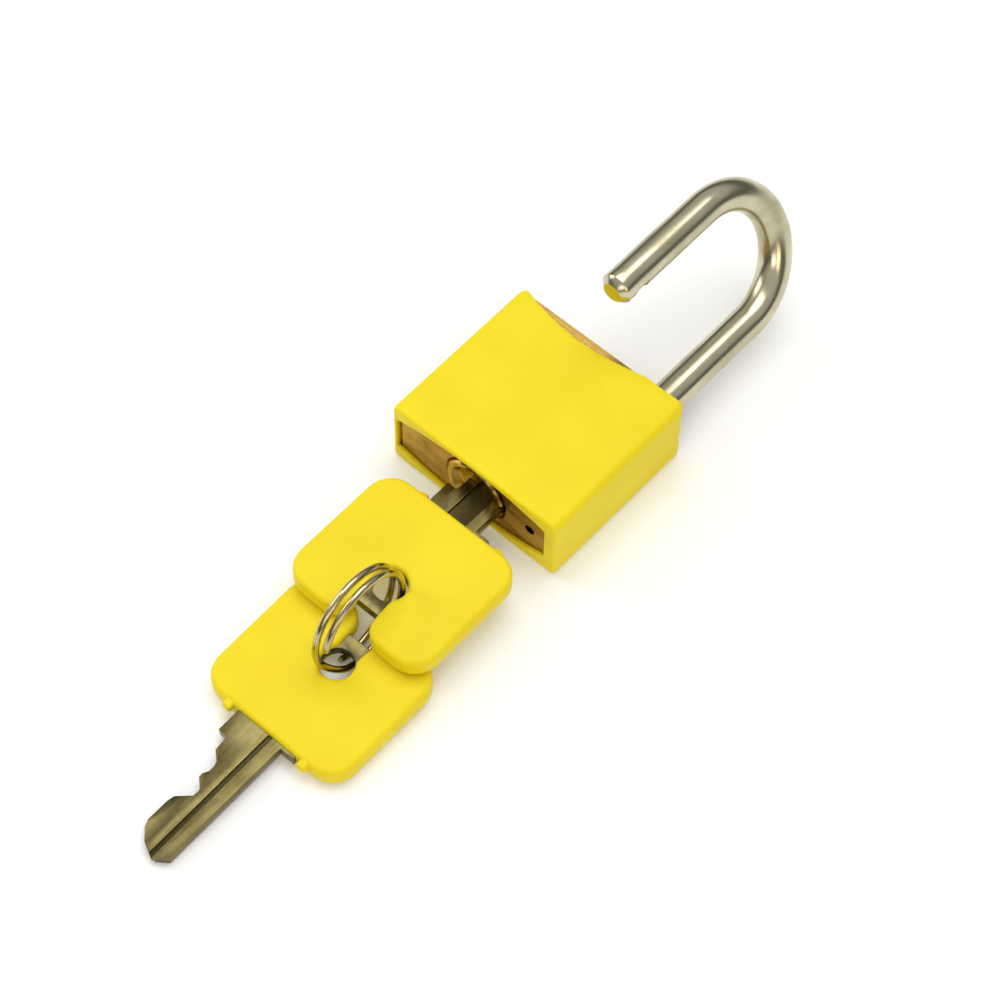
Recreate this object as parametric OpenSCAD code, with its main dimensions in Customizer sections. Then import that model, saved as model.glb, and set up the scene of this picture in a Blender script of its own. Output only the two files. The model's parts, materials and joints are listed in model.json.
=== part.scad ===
// Keyed brass padlock in a soft jacket, with its shackle open and two keys on a split ring.
// The lock lies on its back, and one key is in the plug.
// Origin: centre of the jacket's back face. X is the width, with the shackle's heel at +X.
// Y points from the keyway to the shackle, and Z is up. Millimetres.

/* [Jacket] */
// Width across the jacket
jacket_w = 36.6; // [36:0.1:38]
// Length of the jacket, from the keyway end to the shackle end
jacket_l = 33.1; // [32.6:0.1:35]
// Thickness of the jacket
jacket_t = 15.0; // [14.6:0.1:17]
// Wall of the soft jacket
jacket_wall = 0.8; // [0.6:0.1:1]

/* [Shackle] */
// Diameter of the shackle
shackle_d = 6.0; // [5.6:0.1:6.2]
// Distance between the two legs' axes
shackle_span = 25.0; // [24.6:0.1:25.4]
// Straight leg above the body when the shackle is open
shackle_reach = 24.3; // [22:0.1:34]
// How far the shackle rises when it opens
shackle_rise = 11.3; // [10:0.1:11.6]
// How far the open shackle is turned away from the body, in degrees
shackle_angle = 62; // [40:1:140]

/* [Plug] */
// Diameter of the plug that the key turns
plug_d = 12.5; // [12:0.1:12.6]
// How far the key turns, in degrees
key_turn = 80; // [60:1:80]

/* [Keys] */
// Thickness of the key's metal
key_t = 2.0; // [1.8:0.1:2.1]
// Width of the key head's cover
head_w = 30.4; // [26:0.1:32]
// Length of the key head's cover
head_l = 26.4; // [26:0.1:26.6]
// Thickness of the key head's cover
head_t = 4.0; // [3.8:0.1:4]

/* [Ring] */
// Diameter of the ring's wire
ring_wire = 1.25; // [1:0.05:1.25]
// Radius of the ring, at the middle of its wire
ring_r = 9.5; // [9.4:0.1:9.6]
// How far the ring leans from upright, in degrees
ring_lean = 2.7; // [2:0.1:3.4]

/* [Hidden] */

$fn = 64;
eps = 0.5;

// Body: outer faces of the jacket and of the brass inside it
mid_z = jacket_t / 2;
key_end = -jacket_l / 2;
top_end = jacket_l / 2;
brass_w = jacket_w - 2 * jacket_wall;
brass_t = jacket_t - 2 * jacket_wall;
brass_y0 = key_end + 0.65;
brass_y1 = top_end - 0.25;
jacket_corner = 1.5;
brass_corner = 1.0;

// Barrel-shaped window in the jacket's key end
window_x0 = -brass_w / 2 + 0.1;
window_x1 = brass_w / 2 - 1.8;
window_border = 1.1;
window_crown = 2.4;
window_half = (window_x1 - window_x0) / 2;
window_r = (window_half * window_half + window_crown * window_crown) / (2 * window_crown);
window_mid_x = (window_x0 + window_x1) / 2;

// Scoop in the front wall's top edge, where the brass shows
scoop_x = -4;
scoop_depth = 2.0;
scoop_half = 13;
scoop_r = (scoop_half * scoop_half + scoop_depth * scoop_depth) / (2 * scoop_depth);

// Shackle
heel_x = 12.1;
toe_x = heel_x - shackle_span;
shackle_r = shackle_d / 2;
bow_r = shackle_span / 2;
bow_y = top_end + shackle_reach;
leg_fit = 0.1;
latch_y = 10.6;
notch_from_end = 4.5;
notch_l = 3.0;
notch_depth = 1.6;
toe_end = latch_y + shackle_rise - notch_from_end;
toe_chamfer = 1.1;
toe_hole_y0 = toe_end - shackle_rise - 0.5;

// Heel: a foot below an annular neck, held by the retaining pin
retaining_pin_y = 3.0;
retaining_pin_r = 1.0;
neck_r = 2.2;
foot_l = 2.2;
foot_top = retaining_pin_y - retaining_pin_r - 0.1;
foot_bottom = foot_top - foot_l;
neck_top = foot_top + shackle_rise + 2 * retaining_pin_r + 0.2;
heel_hole_y0 = foot_bottom - shackle_rise - 2.4;
retaining_pin_x = heel_x - neck_r - retaining_pin_r - 0.05;
retaining_pin_z1 = mid_z + 4.2;
drain_r = 1.0;

// Plug and keyway
plug_r = plug_d / 2;
bore_r = plug_r + 0.05;
plug_face = key_end + 0.15;
keyway_end = 4.9;
plug_end = 6.4;
bore_end = 6.5;
dish_r = plug_r - 1.1;
dish_depth = 0.9;
rim_chamfer = 0.35;
retaining_groove_y = 3.8;
retaining_groove_r = 5.4;
plug_pin_r = 0.8;

// Cam pin: it goes round with the plug and draws the latch bolt back
cam_r = 1.6;
cam_pin_r = 0.7;
cam_pin_end = 11.1;
cam_x = -cam_r * sin(key_turn / 2);
cam_z = cam_r * cos(key_turn / 2);

// Latch bolt in its channel
channel_r = 2.3;
bolt_r = 2.2;
bolt_tip_x = toe_x + shackle_r - notch_depth + 0.3;
bolt_tip_l = 2.4;
bolt_tip_w = 2.6;
bolt_end_x = 4.4;
channel_end_x = 8.2;
toe_hole_x0 = toe_x - shackle_r - leg_fit;

// Key, in its own frame: X across it with the spine at +X, Y to the tip from the spine's stop
spine_x = 3.5;
base_half = 6.4;
shoulder_y = 4.0;
head_x = -0.35;
head_y1 = -0.65;
head_y0 = head_y1 - head_l;
head_corner = 4.5;
eye_y = head_y0 + 9.85;
eye_r = 3.05;
bow_half = 9.5;
bow_y1 = -3.5;
bow_corner = 3;
bow_end = eye_y - eye_r - 2.4;
slot_half = 2.2;
slot_half_end = 2.5;
nub_x = 8.3;
wide_groove_x0 = spine_x - 6.0;
wide_groove_x1 = spine_x - 2.0;
line_groove_x = spine_x - 2.65;
line_groove_w = 0.9;
groove_depth = 0.45;
key_fit = 0.1;

// Distance along the key and height above its spine, from the shoulder round to the tip
key_edge = [
    [4.0, 8.0], [6.9, 7.8], [8.3, 6.2], [9.1, 5.9], [10.3, 5.9], [11.2, 6.4], [12.1, 6.4],
    [13.6, 4.75], [15.0, 4.75], [17.1, 7.0], [18.4, 7.25], [22.8, 7.3], [24.0, 6.8],
    [25.8, 5.1], [27.1, 2.4], [25.3, 0]
];

// Where the keys are
key_1_x = 2.6;
key_1_y = -22.5;
key_2_x = 4.35;
key_2_y = -71.6;
key_2_z = 2.18;
key_2_tilt = 2.4;

// Pin chambers, from the keyway end
chamber_y = [-12.8, -8.2, -3.6, 1.0];
cut_height = [5.9, 4.75, 7.3, 7.3];
chamber_r = 1.4;
pin_r = 1.35;
pin_tip_r = 0.6;
pin_cone = 1.0;
shear_gap = 0.1;
driver_l = 3.5;
driver_end = -bore_r - 0.02 - driver_l;
chamber_plug_l = 3.0;
chamber_plug_x = -brass_w / 2 + chamber_plug_l;
chamber_depth_x = 2.4;

// Ring: centre of its circle, and its turn about Z
ring_x = 3.8;
ring_y = -48.4;
ring_yaw = -2.2;
ring_pitch = 2.1;
ring_jog = 50;
ring_gap = 30;
ring_start = 243;
ring_low = ring_wire / 2 + ring_pitch / 2 * sin(ring_lean);
ring_z = ring_r * cos(ring_lean) + ring_low + 0.03;

// Cylinders along the two lying axes
module rod_y(x, z, r, y0, y1) {
    translate([x, y1, z])
        rotate([90, 0, 0])
            cylinder(h = y1 - y0, r = r);
}

module rod_x(y, z, r, x0, x1) {
    translate([x0, y, z])
        rotate([0, 90, 0])
            cylinder(h = x1 - x0, r = r);
}

// A cone along Y, from radius r0 at y0 to r1 at y1
module cone_y(x, z, r0, r1, y0, y1) {
    translate([x, y1, z])
        rotate([90, 0, 0])
            cylinder(h = y1 - y0, r1 = r1, r2 = r0);
}

// A flat outline in X and Z, drawn out along Y
module along_y(y0, y1) {
    translate([0, y1, 0])
        rotate([90, 0, 0])
            linear_extrude(height = y1 - y0)
                children();
}

module rounded_square(x0, x1, y0, y1, r) {
    translate([x0 + r, y0])
        square([x1 - x0 - 2 * r, y1 - y0]);
    translate([x0, y0 + r])
        square([x1 - x0, y1 - y0 - 2 * r]);
    for (x = [x0 + r, x1 - r], y = [y0 + r, y1 - r])
        translate([x, y])
            circle(r = r);
}

// A tube swept along points, each with its own two cross directions
function tube_points(centres, across, upward, r, sides) = [
    for (i = [0:len(centres) - 1], k = [0:sides - 1])
        centres[i] + r * cos(360 * k / sides) * across[i] + r * sin(360 * k / sides) * upward[i]
];

function tube_faces(count, sides) = concat(
    [[for (k = [0:sides - 1]) k]],
    [for (i = [0:count - 2], k = [0:sides - 1])
        [i * sides + k, (i + 1) * sides + k, i * sides + (k + 1) % sides]],
    [for (i = [0:count - 2], k = [0:sides - 1])
        [i * sides + (k + 1) % sides, (i + 1) * sides + k, (i + 1) * sides + (k + 1) % sides]],
    [[for (k = [sides - 1:-1:0]) (count - 1) * sides + k]]
);

// A coil spring standing on z = 0
module coil_spring(coil_r, wire_r, length, turns, sides = 6, steps = 14) {
    count = turns * steps;
    angle = [for (i = [0:count]) 360 * i / steps];
    across = [for (a = angle) [cos(a), sin(a), 0]];
    upward = [for (a = angle) [0, 0, 1]];
    centres = [
        for (i = [0:count])
            coil_r * across[i] + [0, 0, wire_r + (length - 2 * wire_r) * i / count]
    ];
    polyhedron(
        points = tube_points(centres, across, upward, wire_r, sides),
        faces = tube_faces(count + 1, sides)
    );
}

module brass_blank() {
    translate([0, 0, jacket_wall])
        linear_extrude(height = brass_t)
            rounded_square(-brass_w / 2, brass_w / 2, brass_y0, brass_y1, brass_corner);
}

module brass_body() {
    color("#c9a55c")
        difference() {
            brass_blank();
            // Plug bore, its mouth and the cam's window into the latch channel
            rod_y(0, mid_z, bore_r, brass_y0 - eps, bore_end);
            cone_y(0, mid_z, bore_r + 0.5, bore_r, brass_y0, brass_y0 + 0.5);
            rod_y(0, mid_z, cam_r + cam_pin_r + 0.2, bore_end - eps, cam_pin_end + 0.2);
            // Shackle holes, and the drain under the heel
            rod_y(toe_x, mid_z, shackle_r + leg_fit, toe_hole_y0, brass_y1 + eps);
            rod_y(heel_x, mid_z, shackle_r + leg_fit, heel_hole_y0, brass_y1 + eps);
            rod_y(heel_x, mid_z, drain_r, brass_y0 - eps, heel_hole_y0 + eps);
            // Latch channel
            rod_x(latch_y, mid_z, channel_r, -brass_w / 2 - eps, channel_end_x);
            // Pin chambers
            for (y = chamber_y)
                rod_x(y, mid_z, chamber_r, -brass_w / 2 - eps, 0);
            // Retaining pins
            rod_x(retaining_groove_y, mid_z, plug_pin_r, -brass_w / 2 - eps, 0);
            translate([retaining_pin_x, retaining_pin_y, jacket_wall - eps])
                cylinder(h = retaining_pin_z1 - jacket_wall + eps, r = retaining_pin_r);
        }
}

module window_outline() {
    intersection() {
        translate([window_x0, window_border])
            square([window_x1 - window_x0, jacket_t - 2 * window_border]);
        translate([window_mid_x, jacket_t - window_border - window_r])
            circle(r = window_r, $fn = 128);
        translate([window_mid_x, window_border + window_r])
            circle(r = window_r, $fn = 128);
    }
}

module jacket() {
    color("#f8e53a")
        difference() {
            intersection() {
                linear_extrude(height = jacket_t)
                    rounded_square(-jacket_w / 2, jacket_w / 2, key_end, top_end, jacket_corner);
                along_y(key_end - eps, top_end + eps)
                    rounded_square(-jacket_w / 2, jacket_w / 2, 0, jacket_t, jacket_corner);
            }
            // Room for the brass, open at the shackle end
            brass_blank();
            translate([-brass_w / 2, brass_y1 - brass_corner, jacket_wall])
                cube([brass_w, brass_corner + 1, brass_t]);
            along_y(key_end - eps, brass_y0 + eps)
                window_outline();
            translate([scoop_x, top_end + scoop_r - scoop_depth, jacket_t - jacket_wall - 0.1])
                cylinder(h = jacket_wall + eps, r = scoop_r, $fn = 128);
        }
}

// The shackle as it stands when it is aligned: heel leg on Y, toe leg at -X
module aligned_shackle() {
    rod_y(0, 0, shackle_r, foot_bottom, foot_top);
    rod_y(0, 0, neck_r, foot_top - 0.2, neck_top + 0.2);
    rod_y(0, 0, shackle_r, neck_top, bow_y);
    translate([-bow_r, bow_y, 0])
        rotate_extrude(angle = 180)
            translate([bow_r, 0])
                circle(r = shackle_r);
    difference() {
        union() {
            rod_y(-shackle_span, 0, shackle_r, toe_end + toe_chamfer, bow_y);
            cone_y(-shackle_span, 0, shackle_r - toe_chamfer, shackle_r, toe_end, toe_end + toe_chamfer);
        }
        translate([-shackle_span + shackle_r - notch_depth, toe_end + notch_from_end - notch_l / 2, -shackle_r])
            cube([notch_depth + eps, notch_l, shackle_d]);
    }
}

module shackle() {
    color("#d9d9d2")
        translate([heel_x, 0, mid_z])
            rotate([0, shackle_angle, 0])
                aligned_shackle();
}

module shackle_spring() {
    length = foot_bottom - heel_hole_y0;
    color("#b8bcc0")
        translate([heel_x, foot_bottom, mid_z])
            rotate([90, 0, 0])
                coil_spring(2.2, 0.25, length, 4);
}

module shackle_retaining_pin() {
    color("#a9adb2")
        translate([retaining_pin_x, retaining_pin_y, jacket_wall + 0.1])
            cylinder(h = retaining_pin_z1 - jacket_wall - 0.2, r = retaining_pin_r);
}

module latch_bolt() {
    tip_y = bolt_tip_w / 2;
    round_x = bolt_tip_x + bolt_tip_l;
    color("#b7bbbf")
        difference() {
            union() {
                rod_x(latch_y, mid_z, bolt_r, round_x, bolt_end_x);
                intersection() {
                    rod_x(latch_y, mid_z, bolt_r, bolt_tip_x - eps, round_x + eps);
                    translate([0, latch_y, mid_z - bolt_r])
                        linear_extrude(height = 2 * bolt_r)
                            polygon([
                                [bolt_tip_x, -tip_y],
                                [round_x + 0.2, -tip_y],
                                [round_x + 0.2, tip_y],
                                [bolt_tip_x + 1.2, tip_y],
                                [bolt_tip_x, tip_y - 1.1]
                            ]);
                }
            }
            // Slot for the cam pin, open towards the plug and towards +Z
            translate([cam_x - cam_pin_r - 0.12, latch_y - bolt_r - eps, mid_z + 0.4])
                cube([2 * cam_pin_r + 0.24, bolt_r + eps + 0.7, bolt_r]);
        }
}

module latch_spring() {
    color("#b8bcc0")
        translate([bolt_end_x, latch_y, mid_z])
            rotate([0, 90, 0])
                coil_spring(1.6, 0.22, channel_end_x - bolt_end_x, 4, 6, 12);
}

module channel_plug() {
    color("#b8954f")
        rod_x(latch_y, mid_z, channel_r, -brass_w / 2, toe_hole_x0 - 0.05);
}

// The key's cross-section, with its spine at +X, larger all round by fit
module keyway_outline(fit) {
    x0 = spine_x - key_edge[0][1] - fit;
    x1 = spine_x + fit + 1;
    groove = groove_depth - fit;
    difference() {
        translate([x0, -key_t / 2 - fit])
            square([x1 - x0, key_t + 2 * fit]);
        translate([wide_groove_x0 + fit, key_t / 2 + fit - 2 * fit - groove])
            square([wide_groove_x1 - wide_groove_x0 - 2 * fit, groove + 2 * fit + eps]);
        translate([line_groove_x - line_groove_w / 2 + fit, -key_t / 2 - fit - eps])
            square([line_groove_w - 2 * fit, groove + fit + eps]);
    }
}

module plug() {
    color("#bf9a4d")
        difference() {
            union() {
                rod_y(0, mid_z, plug_r, plug_face + rim_chamfer, plug_end);
                cone_y(0, mid_z, plug_r - rim_chamfer, plug_r, plug_face, plug_face + rim_chamfer);
            }
            cone_y(0, mid_z, dish_r, dish_r - 0.9, plug_face, plug_face + dish_depth);
            translate([key_1_x, 0, mid_z])
                along_y(plug_face - eps, keyway_end)
                    keyway_outline(key_fit);
            for (y = chamber_y)
                rod_x(y, mid_z, chamber_r, -plug_r - eps, chamber_depth_x);
            rod_y(cam_x, mid_z + cam_z, cam_pin_r, plug_end - 1.3, plug_end + eps);
            difference() {
                rod_y(0, mid_z, plug_r + eps, retaining_groove_y - 0.85, retaining_groove_y + 0.85);
                rod_y(0, mid_z, retaining_groove_r, retaining_groove_y - 1, retaining_groove_y + 1);
            }
        }
}

module cam_pin() {
    color("#a9adb2")
        rod_y(cam_x, mid_z + cam_z, cam_pin_r, plug_end - 1.3, cam_pin_end);
}

module plug_retaining_pin() {
    color("#a9adb2")
        rod_x(retaining_groove_y, mid_z, plug_pin_r, -brass_w / 2 + 0.1, -retaining_groove_r - 0.1);
}

// Key pin i reaches from the key's edge to just inside the plug's surface
module key_pin(i) {
    tip_x = key_1_x + spine_x - cut_height[i] - 0.03;
    end_x = -plug_r + shear_gap;
    color("#d0a64e") {
        translate([tip_x - pin_cone, chamber_y[i], mid_z])
            rotate([0, 90, 0])
                cylinder(h = pin_cone, r1 = pin_r, r2 = pin_tip_r);
        rod_x(chamber_y[i], mid_z, pin_r, end_x + 0.35, tip_x - pin_cone);
        translate([end_x, chamber_y[i], mid_z])
            rotate([0, 90, 0])
                cylinder(h = 0.35, r1 = pin_r - 0.5, r2 = pin_r);
    }
}

module driver_pin(i) {
    color("#c2c6ca")
        rod_x(chamber_y[i], mid_z, pin_r, driver_end, -bore_r - 0.02);
}

module pin_spring(i) {
    color("#b8bcc0")
        translate([chamber_plug_x, chamber_y[i], mid_z])
            rotate([0, 90, 0])
                coil_spring(1.0, 0.16, driver_end - chamber_plug_x, 5, 5, 10);
}

module chamber_plug(i) {
    color("#b8954f")
        rod_x(chamber_y[i], mid_z, chamber_r, -brass_w / 2, chamber_plug_x);
}

// Flat outline of the key's metal: bow, base and toothed blade
module key_outline() {
    difference() {
        polygon(concat(
            [[spine_x, 0], [base_half, 0], [base_half, bow_y1], [bow_half, bow_y1 - bow_corner]],
            [[bow_half, bow_end + bow_corner], [bow_half - bow_corner, bow_end]],
            [[bow_corner - bow_half, bow_end], [-bow_half, bow_end + bow_corner]],
            [[-bow_half, bow_y1 - bow_corner], [-base_half, bow_y1], [-base_half, shoulder_y]],
            [for (p = key_edge) [spine_x - p[1], p[0]]]
        ));
        translate([0, eye_y])
            circle(r = eye_r - 0.05);
    }
}

module key_metal() {
    tip_y = key_edge[14][0];
    difference() {
        linear_extrude(height = key_t, center = true)
            key_outline();
        translate([wide_groove_x0, head_y1, key_t / 2 - groove_depth])
            cube([wide_groove_x1 - wide_groove_x0, tip_y - head_y1 + eps, groove_depth + eps]);
        translate([line_groove_x - line_groove_w / 2, head_y1, -key_t / 2 - eps])
            cube([line_groove_w, tip_y - head_y1 + eps, groove_depth + eps]);
    }
}

module key_cover() {
    difference() {
        union() {
            linear_extrude(height = head_t, center = true)
                rounded_square(head_x - head_w / 2, head_x + head_w / 2, head_y0, head_y1, head_corner);
            for (side = [-1, 1])
                translate([side * nub_x - 0.9, head_y1 - 1, -head_t / 2 + 0.2])
                    cube([1.8, 2.2, 1.8]);
        }
        translate([0, eye_y, -head_t])
            cylinder(h = 2 * head_t, r = eye_r);
        // Slot from the eye to the far edge, a little wider there
        translate([0, 0, -head_t])
            linear_extrude(height = 2 * head_t)
                polygon([
                    [-slot_half, eye_y], [slot_half, eye_y],
                    [slot_half_end, head_y0 - eps], [-slot_half_end, head_y0 - eps]
                ]);
        linear_extrude(height = key_t, center = true)
            difference() {
                key_outline();
                translate([-head_w / 2, head_y1 + 0.9])
                    square([head_w, 40]);
            }
    }
}

module place_key_1() {
    translate([key_1_x, key_1_y, mid_z])
        children();
}

// Key 2 lies the other way up on the ring, with its tip on the table
module place_key_2() {
    translate([key_2_x, key_2_y, key_2_z])
        rotate([180 + key_2_tilt, 0, 0])
            children();
}

module key_1_blade() {
    color("#b9b49a")
        place_key_1()
            key_metal();
}

module key_1_cover() {
    color("#f7e236")
        place_key_1()
            key_cover();
}

module key_2_blade() {
    color("#b9b49a")
        place_key_2()
            key_metal();
}

module key_2_cover() {
    color("#f7e236")
        place_key_2()
            key_cover();
}

// Two turns of wire side by side, with one short jog between them
module split_ring() {
    sides = 8;
    step = 10;
    last = 2 * 360 - ring_jog - ring_gap;
    angle = [for (a = [0:step:last]) a];
    shift = [
        for (a = angle)
            ring_pitch * min(1, max(0, (a - 360 + ring_jog) / ring_jog)) - ring_pitch / 2
    ];
    along = [sin(ring_yaw), cos(ring_yaw), 0];
    rise = [
        -sin(ring_lean) * cos(ring_yaw), sin(ring_lean) * sin(ring_yaw), cos(ring_lean)
    ];
    normal = cross(along, rise);
    across = [
        for (a = angle)
            cos(a + ring_start) * along + sin(a + ring_start) * rise
    ];
    upward = [for (a = angle) normal];
    centres = [
        for (i = [0:len(angle) - 1])
            [ring_x, ring_y, ring_z] + ring_r * across[i] + shift[i] * normal
    ];
    color("#c8c4b4")
        polyhedron(
            points = tube_points(centres, across, upward, ring_wire / 2, sides),
            faces = tube_faces(len(angle), sides)
        );
}

brass_body();
jacket();
shackle();
shackle_spring();
shackle_retaining_pin();
latch_bolt();
latch_spring();
channel_plug();
plug();
cam_pin();
plug_retaining_pin();
key_pin(0);  // key_pin_1
key_pin(1);  // key_pin_2
key_pin(2);  // key_pin_3
key_pin(3);  // key_pin_4
driver_pin(0);  // driver_pin_1
driver_pin(1);  // driver_pin_2
driver_pin(2);  // driver_pin_3
driver_pin(3);  // driver_pin_4
pin_spring(0);  // pin_spring_1
pin_spring(1);  // pin_spring_2
pin_spring(2);  // pin_spring_3
pin_spring(3);  // pin_spring_4
chamber_plug(0);  // chamber_plug_1
chamber_plug(1);  // chamber_plug_2
chamber_plug(2);  // chamber_plug_3
chamber_plug(3);  // chamber_plug_4
key_1_blade();
key_1_cover();
key_2_blade();
key_2_cover();
split_ring();
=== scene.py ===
"""A small brass padlock in a soft yellow jacket: open shackle, one key in the plug, one on the ring.

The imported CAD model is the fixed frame. The visible skins are rebuilt here with rounded edges,
and the brass, pins and springs keep their CAD shape with finer materials. Lengths are in mm.
"""
import json
import math

import bmesh
import bpy
from mathutils import Matrix, Vector, noise


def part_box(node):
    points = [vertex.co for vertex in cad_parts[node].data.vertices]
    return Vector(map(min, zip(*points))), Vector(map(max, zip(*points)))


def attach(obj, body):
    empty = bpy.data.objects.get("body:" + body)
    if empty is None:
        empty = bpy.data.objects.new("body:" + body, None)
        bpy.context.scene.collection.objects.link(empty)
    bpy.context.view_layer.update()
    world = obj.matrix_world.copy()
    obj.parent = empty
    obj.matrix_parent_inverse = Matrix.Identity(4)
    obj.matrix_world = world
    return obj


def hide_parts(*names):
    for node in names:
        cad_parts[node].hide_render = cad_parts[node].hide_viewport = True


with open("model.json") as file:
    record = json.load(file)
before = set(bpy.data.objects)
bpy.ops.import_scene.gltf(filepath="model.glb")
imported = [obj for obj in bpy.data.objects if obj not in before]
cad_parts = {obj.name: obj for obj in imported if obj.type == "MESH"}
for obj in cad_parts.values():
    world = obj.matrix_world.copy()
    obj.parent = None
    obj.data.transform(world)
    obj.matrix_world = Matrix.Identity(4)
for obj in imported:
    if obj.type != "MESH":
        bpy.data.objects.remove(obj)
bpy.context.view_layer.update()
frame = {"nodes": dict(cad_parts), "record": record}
MM = 0.001
# A step too small to see
HAIR = 0.02


def box_mm(node):
    """A CAD node's lowest and highest corners, in millimetres."""
    low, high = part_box(node)
    return low / MM, high / MM


JACKET_LOW, JACKET_HIGH = box_mm("jacket")
BRASS_LOW, BRASS_HIGH = box_mm("brass_body")
MID_Z = (JACKET_LOW.z + JACKET_HIGH.z) / 2
JACKET_WALL = (JACKET_HIGH.x - JACKET_LOW.x - BRASS_HIGH.x + BRASS_LOW.x) / 2
JACKET_CORNER = 1.5
JACKET_EDGE = 0.75

# Window in the jacket's keyway end, and the scoop in its front wall at the shackle end
WINDOW_X0 = BRASS_LOW.x + 0.1
WINDOW_X1 = BRASS_HIGH.x - 1.8
WINDOW_BORDER = 1.1
WINDOW_CROWN = 2.4
WINDOW_CORNER = 0.35
# Each step of the window's rounded rim: how deep it lies, and how much it has opened out
WINDOW_RIM = ((0.3, 0.0), (0.1, 0.04), (0.02, 0.12), (0.0, 0.22))
SCOOP_X = -4.0
SCOOP_DEPTH = 2.0
SCOOP_HALF = 13.0
SCOOP_SOFT = 0.25

# Shackle, in its own frame: Y along the legs and up to the bow, the toe leg at -X from the heel
HEEL_X = 12.1
SHACKLE_SPAN = 25.0
SHACKLE_R = 3.0
SHACKLE_TURN = math.radians(62)
BOW_Y = 40.85
TOE_END = 17.4
TOE_CHAMFER = 1.1
NOTCH_MID = TOE_END + 4.5
NOTCH_LENGTH = 3.0
NOTCH_DEPTH = 1.6
NECK_R = 2.2
NECK_Y0 = 1.9
NECK_Y1 = 15.4
FOOT_Y = -0.3
SHACKLE_SIDES = 72
BOW_BENDS = 60

# Key, in its own frame: X across with the spine at +X, Y to the tip, Z through its thickness
KEY_1_AT = Vector((2.6, -22.5, MID_Z))
KEY_2_AT = Vector((4.35, -71.6, 2.18))
KEY_2_TILT = math.radians(180 + 2.4)
HEAD_X = -0.35
HEAD_W = 30.4
HEAD_Y1 = -0.65
HEAD_Y0 = HEAD_Y1 - 26.4
HEAD_T = 4.0
HEAD_CORNER = 4.8
HEAD_EDGE = 0.9
EYE_Y = HEAD_Y0 + 9.85
EYE_R = 3.05
SLOT_HALF = 2.2
SLOT_HALF_END = 2.5
SLOT_NECK_R = 1.7
SLOT_MOUTH_R = 3.4
COVER_SPACING = 0.45
COVER_EDGE_STEPS = 8
NUB_X = 8.3
NUB_SIZE = Vector((1.8, 2.2, 1.8))
NUB_ROUND = 0.5
NUB_PAST = 0.1
NUB_RISE = 1.1
METAL_EDGE = 0.13
METAL_HALF_T = 1.0
GROOVE_DEPTH = 0.45

# Split ring
RING_AT = Vector((3.8, -48.4, 10.194))
RING_R = 9.5
RING_WIRE_R = 0.625
RING_PITCH = 2.1
RING_LEAN = math.radians(2.7)
RING_YAW = math.radians(-2.2)
RING_START = 243
RING_JOG = 50
RING_GAP = 30
RING_SIDES = 28
RING_STEP = 2.5
RING_TAPER = 0.2
RING_TAPER_TURN = 4.0


# ---------------------------------------------------------------- mesh helpers
def new_object(name, points, faces, sharp=40):
    """A smooth-shaded mesh object from points in millimetres."""
    mesh = bpy.data.meshes.new(name)
    mesh.from_pydata([Vector(p) * MM for p in points], [], faces)
    mesh.validate()
    mesh.polygons.foreach_set("use_smooth", [True] * len(mesh.polygons))
    mesh.set_sharp_from_angle(angle=math.radians(sharp))
    obj = bpy.data.objects.new(name, mesh)
    bpy.context.scene.collection.objects.link(obj)
    return obj


def loft(loops, cap_start=False, cap_end=False, rejoin=False):
    """Points and quads of a skin through closed loops that all have the same count.

    With rejoin, the last loop is joined to the first, as on a sleeve with a wall.
    """
    count = len(loops[0])
    points = [p for loop in loops for p in loop]
    faces = []
    for i in range(len(loops) if rejoin else len(loops) - 1):
        after = (i + 1) % len(loops)
        for k in range(count):
            side = (k + 1) % count
            faces.append(
                (i * count + k, i * count + side, after * count + side, after * count + k)
            )
    if cap_start:
        faces.append(tuple(reversed(range(count))))
    if cap_end:
        last = (len(loops) - 1) * count
        faces.append(tuple(range(last, last + count)))
    return points, faces


def tube_loop(centre, out, side, radius, sides):
    """A circle round centre, in the plane of the unit vectors out and side."""
    loop = []
    for k in range(sides):
        a = 2 * math.pi * k / sides
        loop.append(centre + radius * math.cos(a) * out + radius * math.sin(a) * side)
    return loop


def face_outwards(obj):
    """Turns every closed shell's faces to look out."""
    work = bmesh.new()
    work.from_mesh(obj.data)
    bmesh.ops.recalc_face_normals(work, faces=work.faces)
    work.to_mesh(obj.data)
    work.free()


def place_mesh(obj, matrix):
    """Moves the mesh itself, so that the object stays at the origin."""
    move = matrix.copy()
    move.translation = matrix.translation * MM
    obj.data.transform(move)
    obj.data.update()


def apply_modifiers(obj):
    """Replaces the object's mesh with the one that its modifiers make."""
    bpy.context.view_layer.update()
    graph = bpy.context.evaluated_depsgraph_get()
    mesh = bpy.data.meshes.new_from_object(obj.evaluated_get(graph))
    obj.modifiers.clear()
    obj.data = mesh


def edged_copy(node, name, width, sharp=30, segments=2):
    """A copy of a CAD node with its sharp edges rounded off by a small bevel."""
    source = frame["nodes"][node]
    mesh = source.data.copy()
    mesh.materials.clear()
    work = bmesh.new()
    work.from_mesh(mesh)
    bmesh.ops.remove_doubles(work, verts=work.verts, dist=0.002 * MM)
    work.to_mesh(mesh)
    work.free()
    mesh.name = name
    obj = bpy.data.objects.new(name, mesh)
    bpy.context.scene.collection.objects.link(obj)
    bevel = obj.modifiers.new("edge", "BEVEL")
    bevel.width = width * MM
    bevel.segments = segments
    bevel.limit_method = "ANGLE"
    bevel.angle_limit = math.radians(sharp)
    apply_modifiers(obj)
    obj.data.polygons.foreach_set("use_smooth", [True] * len(obj.data.polygons))
    obj.data.set_sharp_from_angle(angle=math.radians(sharp))
    return obj


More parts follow.
